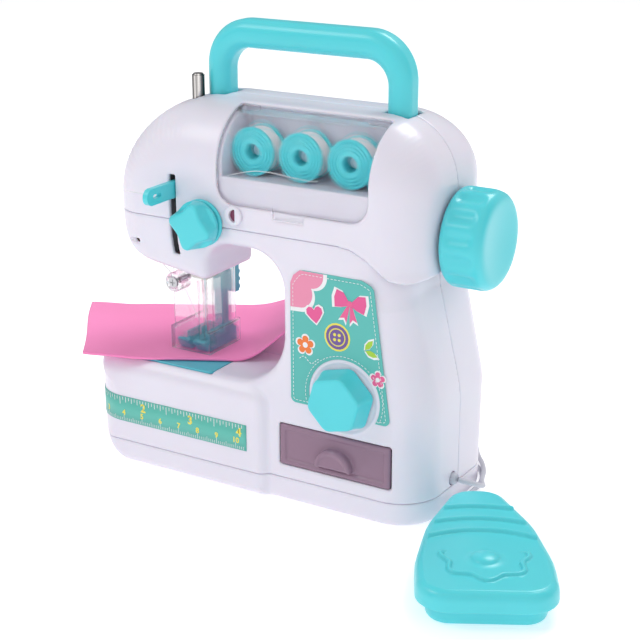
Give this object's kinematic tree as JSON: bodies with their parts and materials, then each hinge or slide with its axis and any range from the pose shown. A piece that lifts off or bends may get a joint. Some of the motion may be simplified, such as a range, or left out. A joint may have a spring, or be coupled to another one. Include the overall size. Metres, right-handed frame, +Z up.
{
  "type": "toy sewing machine",
  "caption": "Child-size electric sewing machine with carrying handle, clear bobbin lid, pull-out drawer, finger guard, practice cloth and a foot pedal on a lead.",
  "frame": {"origin": "on the flat underside of the base tray, at the middle of the machine's length and depth", "axes": "+X towards the handwheel, -Y towards the user, +Z up"},
  "size_m": [0.2723, 0.1766, 0.197],
  "materials": {
    "shell_plastic": "glossy lavender white",
    "turquoise_plastic": "glossy",
    "clear_plastic": "clear, glossy",
    "teal_plastic": "satin",
    "teal_plate": "satin paint",
    "steel": "plain",
    "chrome": "polished",
    "brass": "plain",
    "white_plastic": "moulded",
    "dark_plastic": "moulded",
    "smoky_plastic": "tinted, glossy",
    "belt_rubber": "matte",
    "felt": "felt",
    "thread": "wound thread",
    "cord_plastic": "flexible sleeve",
    "cell_wrap": "printed sleeve"
  },
  "bodies": {
    "machine": {"base_tray": "shell_plastic", "battery_door": "shell_plastic", "battery_door_screw": "steel", "front_shell": "shell_plastic", "arm_cover": "shell_plastic", "rear_shell": "shell_plastic", "case_screw_1": "steel", "case_screw_2": "steel", "battery_cell_1": "cell_wrap", "battery_cell_2": "cell_wrap", "battery_cell_3": "cell_wrap", "carry_handle": "turquoise_plastic", "spool_tray": "shell_plastic", "needle_plate": "teal_plate", "practice_cloth": "felt", "shaft_bush_left": "brass", "shaft_bush_right": "brass", "motor": "steel", "drive_belt": "belt_rubber", "needle_bar_bracket": "white_plastic", "needle_guard": "clear_plastic", "guard_screw": "steel", "tension_stud": "turquoise_plastic", "thread_eye": "shell_plastic", "dial_switch": "dark_plastic", "pedal_base": "turquoise_plastic", "pedal_spring": "steel", "pedal_strain_relief": "cord_plastic", "cord_grommet": "cord_plastic", "cord_lead_machine": "cord_plastic", "cord_coil": "cord_plastic", "cord_lead_pedal": "cord_plastic"},
    "main_shaft": {"main_shaft": "steel", "crank_disc": "white_plastic", "main_gear": "white_plastic", "handwheel": "turquoise_plastic"},
    "motor_pinion": {"motor_pinion": "brass"},
    "lower_shaft": {"lower_shaft": "steel", "looper": "steel"},
    "needle_bar": {"needle_bar": "chrome", "needle_yoke": "white_plastic", "needle_clamp": "chrome", "needle": "chrome", "take_up_lever": "turquoise_plastic"},
    "feed_dog": {"feed_dog": "steel"},
    "presser": {"presser_bar": "teal_plastic", "presser_foot": "teal_plastic"},
    "presser_lifter": {"presser_lifter": "teal_plastic"},
    "tension_knob": {"tension_knob": "turquoise_plastic"},
    "dial": {"dial_knob": "turquoise_plastic"},
    "drawer": {"drawer": "smoky_plastic"},
    "spool_lid": {"spool_lid": "clear_plastic"},
    "bobbin_1": {"bobbin_1": "turquoise_plastic", "thread_winding_1": "thread"},
    "bobbin_2": {"bobbin_2": "turquoise_plastic", "thread_winding_2": "thread"},
    "bobbin_3": {"bobbin_3": "turquoise_plastic", "thread_winding_3": "thread"},
    "pedal_top": {"pedal_top": "turquoise_plastic"}
  },
  "joints": [
    {"name": "handwheel_turn", "type": "hinge", "parent": "machine", "child": "main_shaft", "pos_m": [0, 0, 0.1176], "axis": [1, 0, 0], "continuous": true},
    {"name": "motor_pinion_spin", "type": "hinge", "parent": "machine", "child": "motor_pinion", "pos_m": [0.06, 0, 0.09485], "axis": [1, 0, 0], "continuous": true},
    {"name": "lower_shaft_spin", "type": "hinge", "parent": "machine", "child": "lower_shaft", "pos_m": [0, 0, 0.028], "axis": [1, 0, 0], "continuous": true},
    {"name": "needle_bar_slide", "type": "slide", "parent": "machine", "child": "needle_bar", "axis": [0, 0, 1], "range_m": [-0.024, 0]},
    {"name": "feed_dog_slide", "type": "slide", "parent": "machine", "child": "feed_dog", "axis": [0, 1, 0], "range_m": [-0.00125, 0.00125]},
    {"name": "presser_lift", "type": "hinge", "parent": "machine", "child": "presser_lifter", "pos_m": [-0.035, 0.0084, 0.0956], "axis": [1, 0, 0], "range_deg": [0, 60]},
    {"name": "presser_bar_slide", "type": "slide", "parent": "machine", "child": "presser", "axis": [0, 0, 1], "range_m": [0, 0.005]},
    {"name": "tension_knob_turn", "type": "hinge", "parent": "machine", "child": "tension_knob", "pos_m": [-0.02, -0.041, 0.1173], "axis": [0, 1, 0], "range_deg": [-150, 150]},
    {"name": "dial_turn", "type": "hinge", "parent": "machine", "child": "dial", "pos_m": [0.04785, -0.041, 0.05275], "axis": [0, 1, 0], "range_deg": [-60, 60]},
    {"name": "drawer_slide", "type": "slide", "parent": "machine", "child": "drawer", "axis": [0, -1, 0], "range_m": [0, 0.018]},
    {"name": "spool_lid_open", "type": "hinge", "parent": "machine", "child": "spool_lid", "pos_m": [0.02215, -0.0156, 0.1631], "axis": [-1, 0, 0], "range_deg": [0, 105]},
    {"name": "pedal_press", "type": "hinge", "parent": "machine", "child": "pedal_top", "pos_m": [0.10003, -0.01707, 0.0095], "axis": [0.8796, 0.4756, 0], "range_deg": [0, 2.2], "stiffness_Nm_per_rad": 3, "deforming": ["pedal_spring"]},
    {"name": "bobbin_1_spin", "type": "hinge", "parent": "machine", "child": "bobbin_1", "pos_m": [-0.0015, -0.02, 0.1472], "axis": [0, 1, 0], "continuous": true},
    {"name": "bobbin_2_spin", "type": "hinge", "parent": "machine", "child": "bobbin_2", "pos_m": [0.02125, -0.02, 0.1472], "axis": [0, 1, 0], "continuous": true},
    {"name": "bobbin_3_spin", "type": "hinge", "parent": "machine", "child": "bobbin_3", "pos_m": [0.044, -0.02, 0.1472], "axis": [0, 1, 0], "continuous": true}
  ],
  "couplings": [
    {"joint": "motor_pinion_spin", "follows": "handwheel_turn", "ratio": -4},
    {"joint": "lower_shaft_spin", "follows": "handwheel_turn", "ratio": 1},
    {"joint": "presser_lift", "follows": "presser_bar_slide", "rad_per_m": 209.4}
  ]
}
